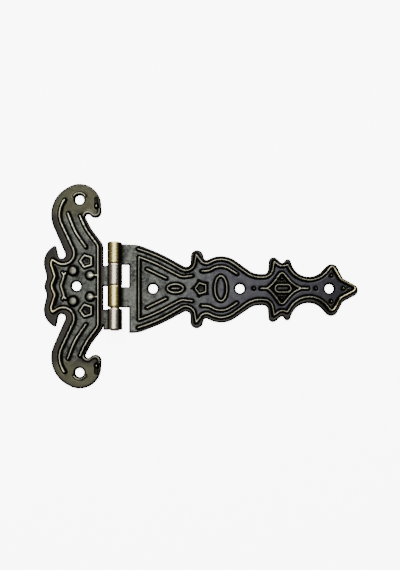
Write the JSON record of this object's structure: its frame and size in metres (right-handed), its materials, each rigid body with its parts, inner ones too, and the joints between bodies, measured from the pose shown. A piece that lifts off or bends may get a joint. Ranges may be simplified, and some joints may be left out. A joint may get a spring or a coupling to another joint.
{
  "type": "strap t-hinge",
  "caption": "Ornamental strap T-hinge: a scrolled cross plate and a long pressed strap leaf with rolled knuckles, joined by a pin and fixed with wood screws.",
  "frame": {"origin": "on the plane of the leaves' flat backs, under the pin axis, on the strap's centre line", "axes": "+X along the strap to its tip, +Y along the pin, +Z out of the decorated face"},
  "size_m": [0.1499, 0.0976, 0.0069],
  "materials": {
    "leaf_finish": "antique bronze plating over pressed steel, relieved to pale brass on the ridges",
    "pin_finish": "brass-plated steel rod"
  },
  "bodies": {
    "cross_plate": {"cross_plate": "leaf_finish", "hinge_pin": "pin_finish"},
    "strap": {"strap_leaf": "leaf_finish"}
  },
  "joints": [
    {"name": "pin_hinge", "type": "hinge", "parent": "cross_plate", "child": "strap", "pos_m": [0, 0, 0.00345], "axis": [0, -1, 0], "range_deg": [-110, 180]}
  ]
}
